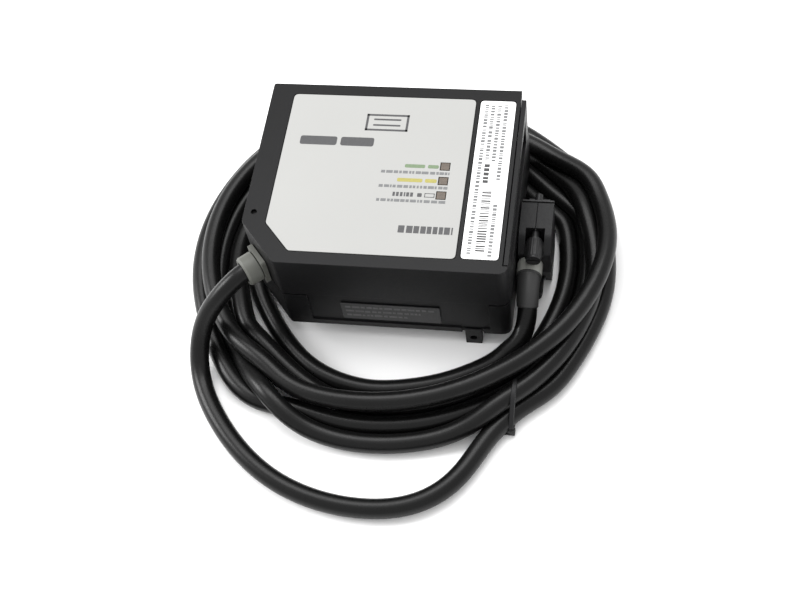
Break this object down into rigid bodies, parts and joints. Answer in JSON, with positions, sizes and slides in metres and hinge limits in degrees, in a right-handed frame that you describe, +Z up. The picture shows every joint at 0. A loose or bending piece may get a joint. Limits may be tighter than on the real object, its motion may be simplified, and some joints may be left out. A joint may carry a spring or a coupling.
{
  "type": "laser scanner module",
  "caption": "Compact fixed-mount laser scanner: a flat die-cast box with a side window over a spinning polygon mirror, and a coiled lead ending in a nine-way connector.",
  "frame": {"origin": "on the surface the unit stands on, under the middle of the housing's footprint", "axes": "+X towards the laser window, +Y towards the back of the housing, away from the lead's gland, +Z up"},
  "size_m": [0.1706, 0.1985, 0.05],
  "materials": {
    "black_paint": "satin black powder paint on a die casting",
    "black_plastic": "fine matte moulding",
    "grey_plastic": "light grey moulding",
    "silver_film": "silver printed membrane",
    "white_film": "white printed label",
    "rubber": "soft black rubber",
    "cable_jacket": "satin black flexible jacket",
    "steel": "bright plated steel",
    "aluminium": "machined",
    "brass": "turned brass",
    "mirror_coat": "front-surface mirror",
    "red_window": "dark red filter",
    "clear_lens": "coated optical glass",
    "circuit_board": "green solder mask",
    "chip": "moulded package",
    "lamp": "tinted light guide"
  },
  "bodies": {
    "housing": {"lower_housing": "black_paint", "upper_cover": "black_paint", "window_bezel": "black_paint", "mounting_lug": "black_paint", "seam_gasket": "rubber", "window_gasket": "rubber", "connector_boot": "rubber", "window_glass": "red_window", "top_label": "silver_film", "rating_label": "silver_film", "id_label": "white_film", "light_pipe_1": "lamp", "light_pipe_2": "lamp", "light_pipe_3": "lamp", "cover_screw_1": "steel", "cover_screw_2": "steel", "cover_screw_3": "steel", "cover_screw_4": "steel", "gland_nut": "steel", "motor_stator": "steel", "photodiode": "steel", "connector_shell": "steel", "gland_plate": "grey_plastic", "gland_sleeve": "grey_plastic", "board_connector": "grey_plastic", "optical_bench": "aluminium", "laser_holder": "aluminium", "fold_mirror_clip": "aluminium", "cable_ferrule": "aluminium", "laser_diode": "brass", "bearing_sleeve": "brass", "board_standoff_1": "brass", "board_standoff_2": "brass", "board_standoff_3": "brass", "board_standoff_4": "brass", "collimator_lens": "clear_lens", "receiver_lens": "clear_lens", "fold_mirror": "mirror_coat", "lens_mount": "black_plastic", "lead_tie": "black_plastic", "hood_left": "black_plastic", "hood_right": "black_plastic", "pin_insulator": "black_plastic", "receiver_board": "circuit_board", "motor_board": "circuit_board", "main_board": "circuit_board", "processor": "chip", "lead_loop": "cable_jacket", "lead_coil": "cable_jacket", "lead_tail": "cable_jacket"},
    "rotor": {"motor_shaft": "steel", "rotor_hub": "aluminium", "polygon_mirror": "mirror_coat"},
    "upper_jackscrew": {"thumb_screw_upper": "steel"},
    "lower_jackscrew": {"thumb_screw_lower": "steel"}
  },
  "joints": [
    {"name": "rotor_spin", "type": "hinge", "parent": "housing", "child": "rotor", "pos_m": [0.018, 0.006, 0.034], "axis": [0, 0, 1], "continuous": true},
    {"name": "upper_jackscrew_turn", "type": "hinge", "parent": "housing", "child": "upper_jackscrew", "pos_m": [0.0573, -0.013, 0.0279], "axis": [0, 1, 0], "continuous": true},
    {"name": "lower_jackscrew_turn", "type": "hinge", "parent": "housing", "child": "lower_jackscrew", "pos_m": [0.0573, -0.013, 0.0031], "axis": [0, 1, 0], "continuous": true}
  ]
}
